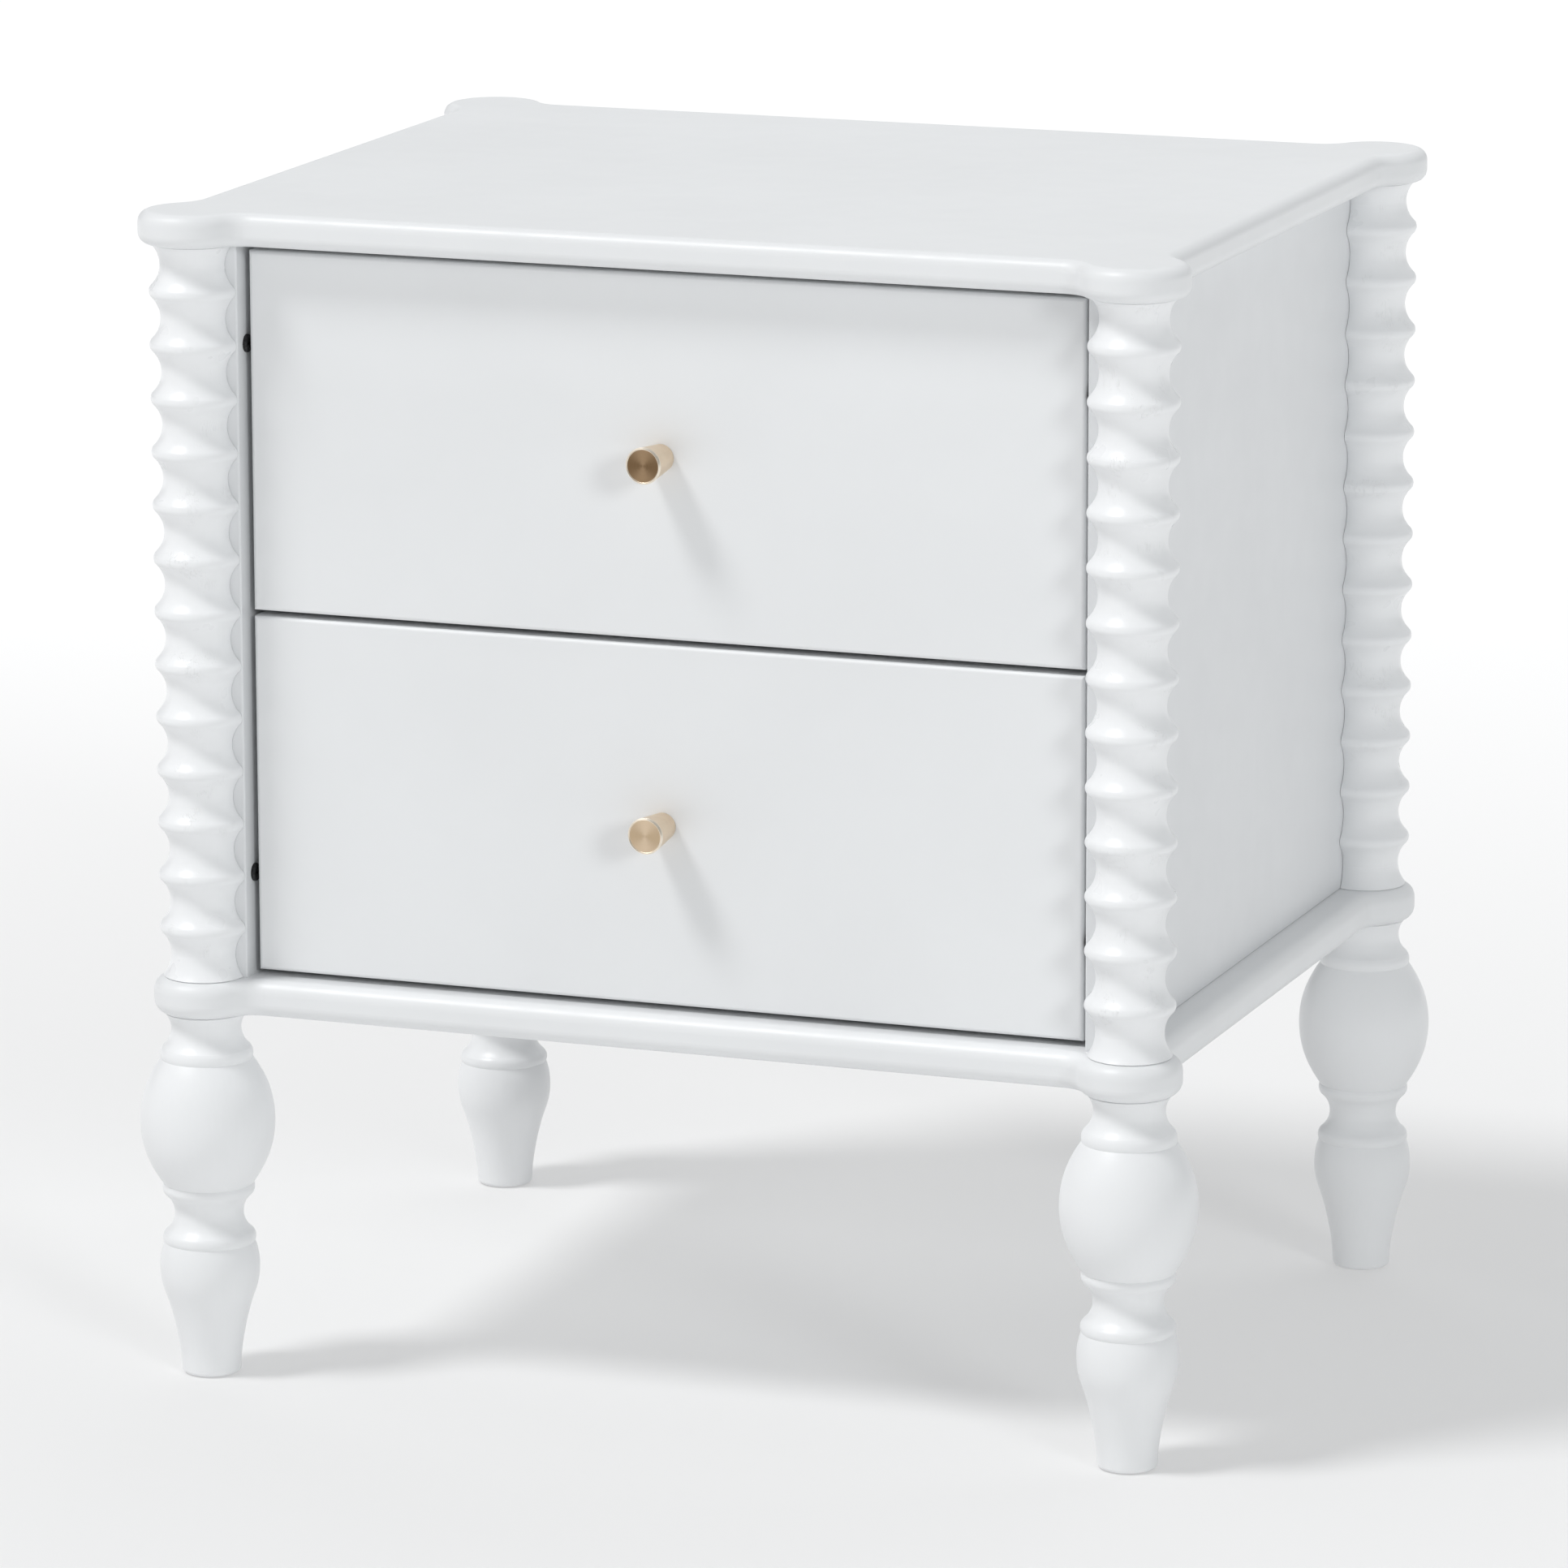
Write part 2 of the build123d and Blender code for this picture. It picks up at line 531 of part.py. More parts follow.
def drawer_side(sx, level):
    low = box_low(level)
    front = FRONT_FACE_Y + FRONT_T
    side = block(sx * (BOX_OUT - BOX_T), sx * BOX_OUT, front, BOX_END_Y, low, low + BOX_H)
    top_rims = side.faces().sort_by(Axis.Z)[-1].edges().filter_by(Axis.Y)
    side = fillet(top_rims, 1.5)
    side -= block(sx * (BOX_OUT - BOX_T - 1), sx * (BOX_OUT - BOX_T + GROOVE_DEPTH + 0.4),
                  front - 1, BOX_END_Y + 1,
                  low + GROOVE_RISE - 0.1, low + GROOVE_RISE + DRAWER_BOTTOM_T + 0.1)
    for z in box_dowel_heights(level):
        side -= rod((sx * (BOX_OUT - BOX_T / 2), front, z), (0, 1, 0), BOX_DOWEL_R + FIT, 18.5)
        side -= rod((sx * (BOX_OUT - BOX_T), BOX_END_Y - BOX_T / 2, z), (sx, 0, 0), BOX_DOWEL_R + FIT, 8.5)
    for y in slide_screw_ys():
        side -= rod((sx * (BOX_OUT + 1), y, slide_height(level)), (-sx, 0, 0), 1.7 + FIT, 11.5)
    return side


def drawer_back(level):
    low = box_low(level)
    inner = BOX_OUT - BOX_T
    back = block(-inner, inner, BOX_END_Y - BOX_T, BOX_END_Y, low, low + BOX_H)
    back = fillet(back.faces().sort_by(Axis.Z)[-1].edges().filter_by(Axis.X), 1.5)
    back -= drawer_bottom_block(level, 0.4)
    for sx in (-1, 1):
        for z in box_dowel_heights(level):
            back -= rod((sx * inner, BOX_END_Y - BOX_T / 2, z), (-sx, 0, 0), BOX_DOWEL_R + FIT, 18.5)
    return back


def drawer_bottom(level):
    return drawer_bottom_block(level, 0)


def drawer_dowels(level):
    group = []
    front = FRONT_FACE_Y + FRONT_T
    for sx in (-1, 1):
        for z in box_dowel_heights(level):
            front_start = (sx * (BOX_OUT - BOX_T / 2), front - 12, z)
            back_start = (sx * (BOX_OUT - BOX_T + 8), BOX_END_Y - BOX_T / 2, z)
            group.append(rod(front_start, (0, 1, 0), BOX_DOWEL_R, 30))
            group.append(rod(back_start, (-sx, 0, 0), BOX_DOWEL_R, 26))
    return Compound(children=group)


def knob(level):
    """Tapered turned knob, widest at its face, with a shallow dished face and a bevelled rim."""
    reach = KNOB_REACH
    profile = [
        Line((0, 0, 0), (KNOB_BASE_R - 0.4, 0, 0)),
        Line((KNOB_BASE_R - 0.4, 0, 0), (KNOB_BASE_R, 0, 0.4)),
        Line((KNOB_BASE_R, 0, 0.4), (KNOB_FACE_R, 0, reach - 1.6)),
        ThreePointArc((KNOB_FACE_R, 0, reach - 1.6), (KNOB_FACE_R - 0.3, 0, reach - 0.6),
                      (KNOB_FACE_R - 1.2, 0, reach)),
        Line((KNOB_FACE_R - 1.2, 0, reach), (KNOB_FACE_R - 1.9, 0, reach - 0.4)),
        Line((KNOB_FACE_R - 1.9, 0, reach - 0.4), (0, 0, reach - 0.4)),
        Line((0, 0, reach - 0.4), (0, 0, 0)),
    ]
    body = Plane(origin=(0, FRONT_FACE_Y, FRONT_LOW[level] + FRONT_H / 2), z_dir=(0, -1, 0)) * turned(profile)
    return body - rod((0, FRONT_FACE_Y + 1, FRONT_LOW[level] + FRONT_H / 2), (0, -1, 0), KNOB_SCREW_R + FIT, 12)


def knob_screw(level):
    start = (0, FRONT_FACE_Y + FRONT_T, FRONT_LOW[level] + FRONT_H / 2)
    return pan_screw(start, (0, -1, 0), FRONT_T + 10, KNOB_SCREW_R, 4.2, 2.4)


# ---------------------------------------------------------------- write every part
def save(name, shape):
    export_step(shape, "parts/" + name + ".step")


save("top_panel", top_panel())
save("bottom_panel", bottom_panel())
save("back_panel", back_panel())
save("back_panel_screws", back_screws())
save("leg_inserts", leg_inserts())
save("column_dowels", column_dowels())
save("panel_dowels", panel_dowels())
save("panel_cams", panel_cams())
save("panel_cam_bolts", panel_cam_bolts())

for corner_name, (corner_x, corner_y) in CORNERS.items():
    save("column_" + corner_name, column(corner_x, corner_y))
    save("leg_" + corner_name, leg(corner_x, corner_y))
    save("leg_bolt_" + corner_name, leg_bolt(corner_x, corner_y))

for side_name, side_x in SIDES.items():
    save("side_panel_" + side_name, side_panel(side_x))
    save("column_screws_" + side_name, column_screws(side_x))
    save("slide_screws_case_" + side_name, slide_screws_case(side_x))

for drawer in FRONT_LOW:
    save("drawer_front_" + drawer, drawer_front(drawer))
    save("drawer_back_" + drawer, drawer_back(drawer))
    save("drawer_bottom_" + drawer, drawer_bottom(drawer))
    save("drawer_dowels_" + drawer, drawer_dowels(drawer))
    save("knob_" + drawer, knob(drawer))
    save("knob_screw_" + drawer, knob_screw(drawer))
    save("slide_screws_drawer_" + drawer, slide_screws_drawer(drawer))
    for side_name, side_x in SIDES.items():
        save("drawer_side_" + drawer + "_" + side_name, drawer_side(side_x, drawer))
        save("slide_outer_" + drawer + "_" + side_name, slide_outer(side_x, drawer))
        save("slide_inner_" + drawer + "_" + side_name, slide_inner(side_x, drawer))
        save("slide_cage_" + drawer + "_" + side_name, slide_cage(side_x, drawer))
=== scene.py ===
import bpy
import bmesh
import math
from mathutils import Matrix, Vector


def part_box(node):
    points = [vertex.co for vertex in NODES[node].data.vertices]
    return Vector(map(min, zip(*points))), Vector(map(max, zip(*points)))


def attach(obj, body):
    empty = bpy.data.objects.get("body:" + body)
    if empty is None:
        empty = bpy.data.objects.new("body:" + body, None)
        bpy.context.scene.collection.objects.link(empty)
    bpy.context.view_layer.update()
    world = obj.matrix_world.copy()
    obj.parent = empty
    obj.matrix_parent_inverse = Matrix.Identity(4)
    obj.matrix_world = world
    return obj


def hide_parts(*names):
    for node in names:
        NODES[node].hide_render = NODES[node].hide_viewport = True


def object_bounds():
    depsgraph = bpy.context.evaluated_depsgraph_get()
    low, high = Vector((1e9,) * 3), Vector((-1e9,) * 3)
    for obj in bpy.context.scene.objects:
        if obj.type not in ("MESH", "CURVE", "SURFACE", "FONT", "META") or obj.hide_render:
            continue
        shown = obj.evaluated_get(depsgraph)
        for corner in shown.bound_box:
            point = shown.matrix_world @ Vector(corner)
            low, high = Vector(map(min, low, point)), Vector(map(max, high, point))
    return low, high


# Two-drawer spool-turned nightstand: looks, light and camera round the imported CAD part. Metres, +Z up.
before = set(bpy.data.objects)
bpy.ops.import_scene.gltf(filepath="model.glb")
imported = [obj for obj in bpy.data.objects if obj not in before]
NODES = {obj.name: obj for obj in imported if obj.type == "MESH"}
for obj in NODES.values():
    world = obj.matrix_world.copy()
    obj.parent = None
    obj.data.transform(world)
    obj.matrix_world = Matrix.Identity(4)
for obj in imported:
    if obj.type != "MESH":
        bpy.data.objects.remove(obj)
cad_low, cad_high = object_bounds()
LEVELS = ("upper", "lower")
SIDES = {"left": -1, "right": 1}


# ---------------------------------------------------------------- camera
CAMERA_PLACE = (1.5610, -4.1903, 1.2752)
CAMERA_YAW = -0.35814
CAMERA_PITCH = 0.21806
CAMERA_ROLL = -0.00236
LENS_MM = 203.9


def make_camera():
    data = bpy.data.cameras.new("camera")
    data.sensor_width = 36.0
    data.lens = LENS_MM
    data.clip_end = 100.0
    ahead = Vector((math.sin(CAMERA_YAW) * math.cos(CAMERA_PITCH),
                    math.cos(CAMERA_YAW) * math.cos(CAMERA_PITCH), -math.sin(CAMERA_PITCH)))
    right = Vector((math.cos(CAMERA_YAW), -math.sin(CAMERA_YAW), 0))
    up = right.cross(ahead)
    c, s = math.cos(CAMERA_ROLL), math.sin(CAMERA_ROLL)
    right, up = right * c + up * s, up * c - right * s
    camera = bpy.data.objects.new("camera", data)
    turn = Matrix((right, up, -ahead)).transposed()
    camera.matrix_world = Matrix.Translation(CAMERA_PLACE) @ turn.to_4x4()
    bpy.context.scene.collection.objects.link(camera)
    bpy.context.scene.camera = camera


# ---------------------------------------------------------------- light and floor
HORIZON = (0.20, 0.204, 0.206, 1)
OVERHEAD = (0.37, 0.376, 0.384, 1)
FLOOR_TONE = (0.58, 0.58, 0.58, 1)
FLOOR_GLOW_NEAR = 0.28
FLOOR_GLOW_FAR = 0.46
GLOW_FROM, GLOW_TO = 0.4, 2.2      # distances over which the floor's glow rises
FLOOR_HALF = 30.0
FLOOR_DROP = 0.0005                # floor clear of the feet
HORIZON_UP_TO, OVERHEAD_FROM = 0.25, 0.70
# towards the light, how wide it looks in degrees, strength, colour, and whether gloss reflects it:
# the low right light would wash out the top seen from behind
SUNS = {
    "key_light": ((-0.41, -0.35, 0.84), 14.0, 1.48, (1.0, 1.0, 1.0)),
    "right_light": ((0.723, -0.616, 0.312), 14.0, 0.74, (0.98, 1.0, 1.0), False),
    "front_light": ((-0.15, -0.95, 0.35), 60.0, 0.15, (1.0, 0.97, 0.95)),
    "back_light": ((0.0, 1.0, 0.8), 80.0, 0.69, (0.99, 1.0, 1.0)),
    "left_light": ((-1.0, -0.25, 0.45), 60.0, 0.34, (1.0, 0.99, 0.98)),
}


def make_sun(name, toward, spread_deg, strength, colour, glossy=True):
    """Distant soft light in direction toward, spread_deg wide; glossy says whether gloss shows it."""
    data = bpy.data.lights.new(name, "SUN")
    data.angle = math.radians(spread_deg)
    data.energy = strength
    data.color = colour
    lamp = bpy.data.objects.new(name, data)
    lamp.rotation_euler = Vector(toward).to_track_quat("Z", "Y").to_euler()
    lamp.visible_glossy = glossy
    bpy.context.scene.collection.objects.link(lamp)


def make_world():
    """Even studio surround: one tone round the horizon and another overhead."""
    world = bpy.data.worlds.new("studio")
    world.use_nodes = True
    tree = world.node_tree
    tree.nodes.clear()
    out = tree.nodes.new("ShaderNodeOutputWorld")
    back = tree.nodes.new("ShaderNodeBackground")
    ramp = tree.nodes.new("ShaderNodeValToRGB")
    split = tree.nodes.new("ShaderNodeSeparateXYZ")
    where = tree.nodes.new("ShaderNodeTexCoord")
    tree.links.new(where.outputs["Generated"], split.inputs[0])
    tree.links.new(split.outputs["Z"], ramp.inputs[0])
    tree.links.new(ramp.outputs[0], back.inputs["Color"])
    tree.links.new(back.outputs[0], out.inputs["Surface"])
    ramp.color_ramp.elements[0].position = HORIZON_UP_TO
    ramp.color_ramp.elements[0].color = HORIZON
    ramp.color_ramp.elements[1].position = OVERHEAD_FROM
    ramp.color_ramp.elements[1].color = OVERHEAD
    bpy.context.scene.world = world


def make_floor():
    """White studio floor whose own glow rises away from the object."""
    mesh = bpy.data.meshes.new("studio_floor")
    low = cad_low.z - FLOOR_DROP
    corners = [(x * FLOOR_HALF, y * FLOOR_HALF, low) for x, y in ((-1, -1), (1, -1), (1, 1), (-1, 1))]
    mesh.from_pydata(corners, [], [(0, 1, 2, 3)])
    floor = bpy.data.objects.new("studio_floor", mesh)
    bpy.context.scene.collection.objects.link(floor)
    m = Maker("studio_floor")
    length = m.tree.nodes.new("ShaderNodeVectorMath")
    length.operation = "LENGTH"
    m.put(length.inputs[0], m.where)
    m.shader.inputs["Base Color"].default_value = FLOOR_TONE
    m.shader.inputs["Roughness"].default_value = 0.9
    m.shader.inputs["Specular IOR Level"].default_value = 0.0
    m.shader.inputs["Emission Color"].default_value = (1, 1, 1, 1)
    m.put(m.shader.inputs["Emission Strength"],
          m.spread(length.outputs["Value"], GLOW_FROM, GLOW_TO, FLOOR_GLOW_NEAR, FLOOR_GLOW_FAR))
    mesh.materials.append(m.material)


# ---------------------------------------------------------------- material helpers
def shade(tone, share=1.0):
    """RGBA colour: tone times share, opaque."""
    return tuple(c * share for c in tone[:3]) + (1,)


class Maker:
    """Small helper that builds one node material."""

    def __init__(self, name):
        self.material = bpy.data.materials.new(name)
        self.material.use_nodes = True
        self.tree = self.material.node_tree
        self.shader = self.tree.nodes["Principled BSDF"]
        self.where = self.tree.nodes.new("ShaderNodeTexCoord").outputs["Object"]

    def node(self, kind, **inputs):
        made = self.tree.nodes.new(kind)
        for key, value in inputs.items():
            self.put(made.inputs[key.replace("_", " ")], value)
        return made

    def put(self, socket, value):
        if isinstance(value, bpy.types.NodeSocket):
            self.tree.links.new(value, socket)
        else:
            socket.default_value = value

    def scaled(self, scale):
        made = self.tree.nodes.new("ShaderNodeMapping")
        self.put(made.inputs["Vector"], self.where)
        self.put(made.inputs["Scale"], scale)
        return made.outputs["Vector"]

    def noise(self, place, scale, detail=2.0, rough=0.5):
        made = self.node("ShaderNodeTexNoise", Vector=place, Scale=scale, Detail=detail, Roughness=rough)
        return made.outputs["Fac"]

    def spread(self, value, low, high, to_low=0.0, to_high=1.0):
        made = self.tree.nodes.new("ShaderNodeMapRange")
        made.clamp = True
        for key, item in zip(("Value", "From Min", "From Max", "To Min", "To Max"),
                             (value, low, high, to_low, to_high)):
            self.put(made.inputs[key], item)
        return made.outputs["Result"]

    def math(self, operation, a, b=0.0):
        made = self.tree.nodes.new("ShaderNodeMath")
        made.operation = operation
        self.put(made.inputs[0], a)
        self.put(made.inputs[1], b)
        return made.outputs[0]

    def mix(self, share, a, b):
        made = self.tree.nodes.new("ShaderNodeMix")
        made.data_type = "RGBA"
        self.put(made.inputs[0], share)
        self.put(made.inputs[6], a)
        self.put(made.inputs[7], b)
        return made.outputs[2]

    def bump(self, height, distance, strength=1.0, under=None):
        made = self.node("ShaderNodeBump", Height=height, Distance=distance, Strength=strength)
        if under is not None:
            self.put(made.inputs["Normal"], under)
        return made.outputs["Normal"]

    def split(self, place=None):
        made = self.tree.nodes.new("ShaderNodeSeparateXYZ")
        self.put(made.inputs[0], self.where if place is None else place)
        return made.outputs


def lacquer(name, grain=None, grain_depth=0.00004, tint=(0.80, 0.812, 0.822), rough=0.36, chips=False):
    """Satin white paint: fine spray texture, faint clouding, and the wood's grain along one axis.
    chips adds the short marks of torn grain on turned wood."""
    m = Maker(name)
    cloud = m.noise(m.where, 9.0, 3.0)
    fine = m.noise(m.where, 60.0, 2.0)
    light, dark = shade(tint, 1.010), shade(tint, 0.985)
    colour = m.mix(m.spread(cloud, 0.35, 0.65), dark, light)
    m.put(m.shader.inputs["Roughness"], m.spread(fine, 0.3, 0.7, rough, rough + 0.10))
    peel = m.noise(m.where, 520.0, 2.0, 0.6)
    normal = m.bump(peel, 0.00003, 0.55)
    if grain:
        stretch = tuple(14.0 if axis == grain else 420.0 for axis in "xyz")
        fibre = m.noise(m.scaled(stretch), 1.0, 4.0, 0.62)
        normal = m.bump(fibre, grain_depth, 0.8, normal)
        colour = m.mix(m.spread(fibre, 0.40, 0.62, 0.0, 0.30), colour, dark)
    if chips:
        streak = m.noise(m.scaled((1100.0, 1100.0, 190.0)), 1.0, 1.0)
        patch = m.noise(m.where, 60.0, 2.0)
        mark = m.math("MULTIPLY", m.spread(streak, 0.56, 0.64), m.spread(patch, 0.57, 0.65))
        normal = m.bump(mark, 0.00016, 0.8, normal)
        colour = m.mix(m.math("MULTIPLY", mark, 0.25), colour, shade(tint, 0.90))
    m.put(m.shader.inputs["Base Color"], colour)
    m.put(m.shader.inputs["Normal"], normal)
    return m.material


def bare_wood(name, grain, across, pale, dark, plies=None):
    """Light wood: long wandering grain, pores and, on a ply's edges, its layers along the plies axis."""
    m = Maker(name)
    stretch = tuple(1.2 if axis == grain else 26.0 for axis in "xyz")
    place = m.scaled(stretch)
    wander = m.noise(place, 1.0, 4.0, 0.6)
    along = m.math("MULTIPLY", m.split(place)["XYZ".index(across.upper())], 2.4)
    bands = m.math("SINE", m.math("ADD", along, m.math("MULTIPLY", wander, 9.0)))
    figure = m.spread(bands, -1.0, 1.0)
    pores = m.noise(m.scaled(tuple(60.0 if axis == grain else 2200.0 for axis in "xyz")), 1.0, 2.0)
    colour = m.mix(m.spread(figure, 0.0, 1.0, 0.0, 0.8), pale, dark)
    colour = m.mix(m.spread(pores, 0.58, 0.72, 0.0, 0.45), colour, shade(dark, 0.6))
    if plies:
        axis, pitch = plies
        layer = m.math("SINE", m.math("MULTIPLY", m.split()["XYZ".index(axis.upper())], math.tau / pitch))
        colour = m.mix(m.spread(layer, 0.2, 0.6, 0.0, 0.35), colour, shade(dark, 0.7))
    m.put(m.shader.inputs["Base Color"], colour)
    m.put(m.shader.inputs["Roughness"], m.spread(figure, 0.0, 1.0, 0.42, 0.56))
    m.put(m.shader.inputs["Normal"], m.bump(pores, 0.00005, 0.6))
    return m.material


def rolled_steel(name, along, tone, rough):
    """Zinc-plated sheet: drawn lines along one axis and a faint cloud in the plating."""
    m = Maker(name)
    lines = m.noise(m.scaled(tuple(8.0 if axis == along else 1500.0 for axis in "xyz")), 1.0, 3.0)
    cloud = m.noise(m.where, 40.0, 3.0)
    colour = m.mix(m.spread(cloud, 0.3, 0.7), shade(tone, 0.86), shade(tone, 1.06))
    m.put(m.shader.inputs["Base Color"], colour)
    m.shader.inputs["Metallic"].default_value = 1.0
    m.put(m.shader.inputs["Roughness"], m.spread(lines, 0.3, 0.7, rough - 0.06, rough + 0.10))
    m.put(m.shader.inputs["Normal"], m.bump(lines, 0.00002, 0.6))
    return m.material


def turned_brass(name, axis_z, face_y, face_r, face_tones_with_painted_reflection):
    """Pale turned brass with fine lines round the knob's axis and a painted highlight on its rim. The face,
    in front of face_y and inside face_r, runs between its own two face tones, which carry a painted
    reflection, with a faint painted two-winged sheen."""
    m = Maker(name)
    parts = m.split()
    dz = m.math("SUBTRACT", parts["Z"], axis_z)
    xx, zz = m.math("MULTIPLY", parts["X"], parts["X"]), m.math("MULTIPLY", dz, dz)
    square = m.math("ADD", zz, xx)
    radius = m.math("SQRT", square)
    on_face = m.math("MULTIPLY", m.spread(radius, face_r - 0.0001, face_r, 1.0, 0.0),
                     m.spread(parts["Y"], face_y, face_y + 0.0003, 1.0, 0.0))
    # painted sheen: a two-winged pattern round the knob's axis, mixed into the face colour together with
    # the turning lines
    painted_sheen_wings = m.math("DIVIDE", m.math("SUBTRACT", zz, xx), m.math("ADD", square, 0.0000004))
    joined = m.tree.nodes.new("ShaderNodeCombineXYZ")
    m.put(joined.inputs[0], m.math("MULTIPLY", radius, 5200.0))
    m.put(joined.inputs[1], m.math("MULTIPLY", parts["Y"], 5200.0))
    lines = m.noise(joined.outputs[0], 1.0, 2.0)
    smear = m.noise(m.where, 160.0, 3.0)
    body = m.mix(m.spread(lines, 0.3, 0.7), (0.80, 0.64, 0.46, 1), (0.88, 0.74, 0.57, 1))
    turned = m.math("ADD", m.math("MULTIPLY", lines, 0.6), m.math("MULTIPLY", painted_sheen_wings, 0.25))
    # face colour: brass tone with a painted reflection, set apart for each knob
    face = m.mix(m.spread(turned, 0.05, 0.55), *face_tones_with_painted_reflection)
    colour = m.mix(m.spread(smear, 0.45, 0.75, 0.0, 0.25), body, (0.66, 0.50, 0.34, 1))
    # painted highlight: a pale cream band round the bevelled rim, just behind the face
    rim_painted_highlight = m.spread(parts["Y"], face_y + 0.0008, face_y + 0.0012, 1.0, 0.0)
    colour = m.mix(rim_painted_highlight, colour, (0.96, 0.87, 0.74, 1))
    colour = m.mix(on_face, colour, face)
    m.put(m.shader.inputs["Base Color"], colour)
    m.shader.inputs["Metallic"].default_value = 1.0
    m.shader.inputs["Anisotropic"].default_value = 0.5
    round_axis = m.tree.nodes.new("ShaderNodeTangent")
    round_axis.direction_type = "RADIAL"
    round_axis.axis = "Y"
    m.put(m.shader.inputs["Tangent"], round_axis.outputs[0])
    m.put(m.shader.inputs["Roughness"], m.spread(lines, 0.3, 0.7, 0.30, 0.44))
    m.put(m.shader.inputs["Normal"], m.bump(lines, 0.00002, 0.6))
    return m.material


def black_oxide(name):
    """Dark speckled finish of a blackened screw."""
    m = Maker(name)
    speck = m.noise(m.where, 900.0, 2.0)
    colour = m.mix(m.spread(speck, 0.35, 0.7), (0.012, 0.012, 0.013, 1), (0.045, 0.045, 0.048, 1))
    m.put(m.shader.inputs["Base Color"], colour)
    m.shader.inputs["Metallic"].default_value = 0.6
    m.put(m.shader.inputs["Roughness"], m.spread(speck, 0.3, 0.7, 0.32, 0.5))
    m.put(m.shader.inputs["Normal"], m.bump(speck, 0.00003, 0.5))
    return m.material


# ---------------------------------------------------------------- mesh helpers
def add_piece(name, mesh, body, material, replaces=()):
    piece = bpy.data.objects.new(name, mesh)
    bpy.context.scene.collection.objects.link(piece)
    mesh.materials.append(material)
    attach(piece, body)
    if replaces:
        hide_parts(*replaces)


def lathe(bm, profile, origin, axis, segments):
    """Turns (radius, distance along axis) points round axis; a radius of 0 closes the end."""
    turn = Vector(axis).to_track_quat("Z", "Y").to_matrix()
    rings = []
    for radius, along in profile:
        if radius == 0:
            rings.append([bm.verts.new(Vector(origin) + turn @ Vector((0, 0, along)))])
            continue
        ring = []
        for i in range(segments):
            a = math.tau * i / segments
            local = Vector((radius * math.cos(a), radius * math.sin(a), along))
            ring.append(bm.verts.new(Vector(origin) + turn @ local))
        rings.append(ring)
    for one, two in zip(rings, rings[1:]):
        for i in range(segments):
            j = (i + 1) % segments
            corners = [one[i % len(one)], one[j % len(one)], two[j % len(two)], two[i % len(two)]]
            seen = []
            for v in corners:
                if v not in seen:
                    seen.append(v)
            if len(seen) > 2:
                bm.faces.new(seen)


def finish_mesh(bm, name, angle):
    """Mesh from bm, smooth but for edges sharper than angle in degrees."""
    bmesh.ops.recalc_face_normals(bm, faces=bm.faces)
    mesh = bpy.data.meshes.new(name)
    for face in bm.faces:
        face.smooth = True
    for edge in bm.edges:
        if len(edge.link_faces) == 2 and edge.calc_face_angle(0) > math.radians(angle):
            edge.smooth = False
    bm.to_mesh(mesh)
    bm.free()
    return mesh


# ---------------------------------------------------------------- materials on the CAD nodes
# The side panels, columns and legs have the same white paint as the boards. The side panel tint is painted
# shade, darker and bluer than the paint. The column and leg tints are painted light, brighter than it.
SIDE_TINT_PAINTED_SHADE = (0.757, 0.770, 0.783)
COLUMN_TINT_PAINTED_LIGHT = (0.862, 0.873, 0.884)
LEG_TINT_PAINTED_LIGHT = (0.845, 0.856, 0.866)
BACK_TINT = (0.76, 0.765, 0.765)
PLY_PITCH = 0.0024
ZINC_NODES = ("leg_bolt", "leg_insert", "panel_cam", "back_panel_screws", "slide_screws", "knob_screw")


def dress(node, material):
    for slot in NODES[node].material_slots:
        slot.material = material


def dress_nodes():
    board = lacquer("lacquer_board")
    # painted shade on the side panels, painted light on the columns and legs (see the tints above)
    side = lacquer("lacquer_side_panel_painted_shade", grain="z", grain_depth=0.00003, tint=SIDE_TINT_PAINTED_SHADE)
    column = lacquer("lacquer_column_painted_light", grain="z", grain_depth=0.00005, tint=COLUMN_TINT_PAINTED_LIGHT, rough=0.27,
                     chips=True)
    leg = lacquer("lacquer_leg_painted_light", grain="z", grain_depth=0.00004, tint=LEG_TINT_PAINTED_LIGHT, rough=0.30)
    back = lacquer("lacquer_back", tint=BACK_TINT)
    for node in ("top_panel", "bottom_panel", "drawer_front_upper", "drawer_front_lower"):
        dress(node, board)
    for node in NODES:
        if node.startswith(("column_front", "column_back")):
            dress(node, column)
        elif node.startswith(("leg_front", "leg_back")):
            dress(node, leg)
    dress("side_panel_left", side)
    dress("side_panel_right", side)
    dress("back_panel", back)
    pale, dark = (0.66, 0.50, 0.33, 1), (0.56, 0.395, 0.235, 1)
    for level in LEVELS:
        for name in SIDES:
            wood = bare_wood("box_side_%s_%s" % (level, name), "y", "z", pale, dark, ("x", PLY_PITCH))
            dress("drawer_side_%s_%s" % (level, name), wood)
        wood = bare_wood("box_back_" + level, "x", "z", pale, dark, ("y", PLY_PITCH))
        dress("drawer_back_" + level, wood)
        dress("drawer_bottom_" + level, bare_wood("box_bottom_" + level, "y", "x", (0.70, 0.55, 0.38, 1),
                                                  (0.61, 0.45, 0.29, 1)))
    zinc = rolled_steel("zinc_plate", "z", (0.62, 0.63, 0.64), 0.30)
    rail = rolled_steel("slide_rail", "y", (0.66, 0.67, 0.68), 0.28)
    dowel = bare_wood("beech", "z", "x", (0.60, 0.40, 0.22, 1), (0.50, 0.31, 0.16, 1))
    for node in NODES:
        if "dowel" in node:
            dress(node, dowel)
        elif node.startswith(("slide_outer", "slide_inner")):
            dress(node, rail)
        elif node.startswith(ZINC_NODES):
            dress(node, zinc)


# ---------------------------------------------------------------- pieces
KNOB_BASE_SHARE = 0.753            # base radius over face radius
FACE_RINGS = 18
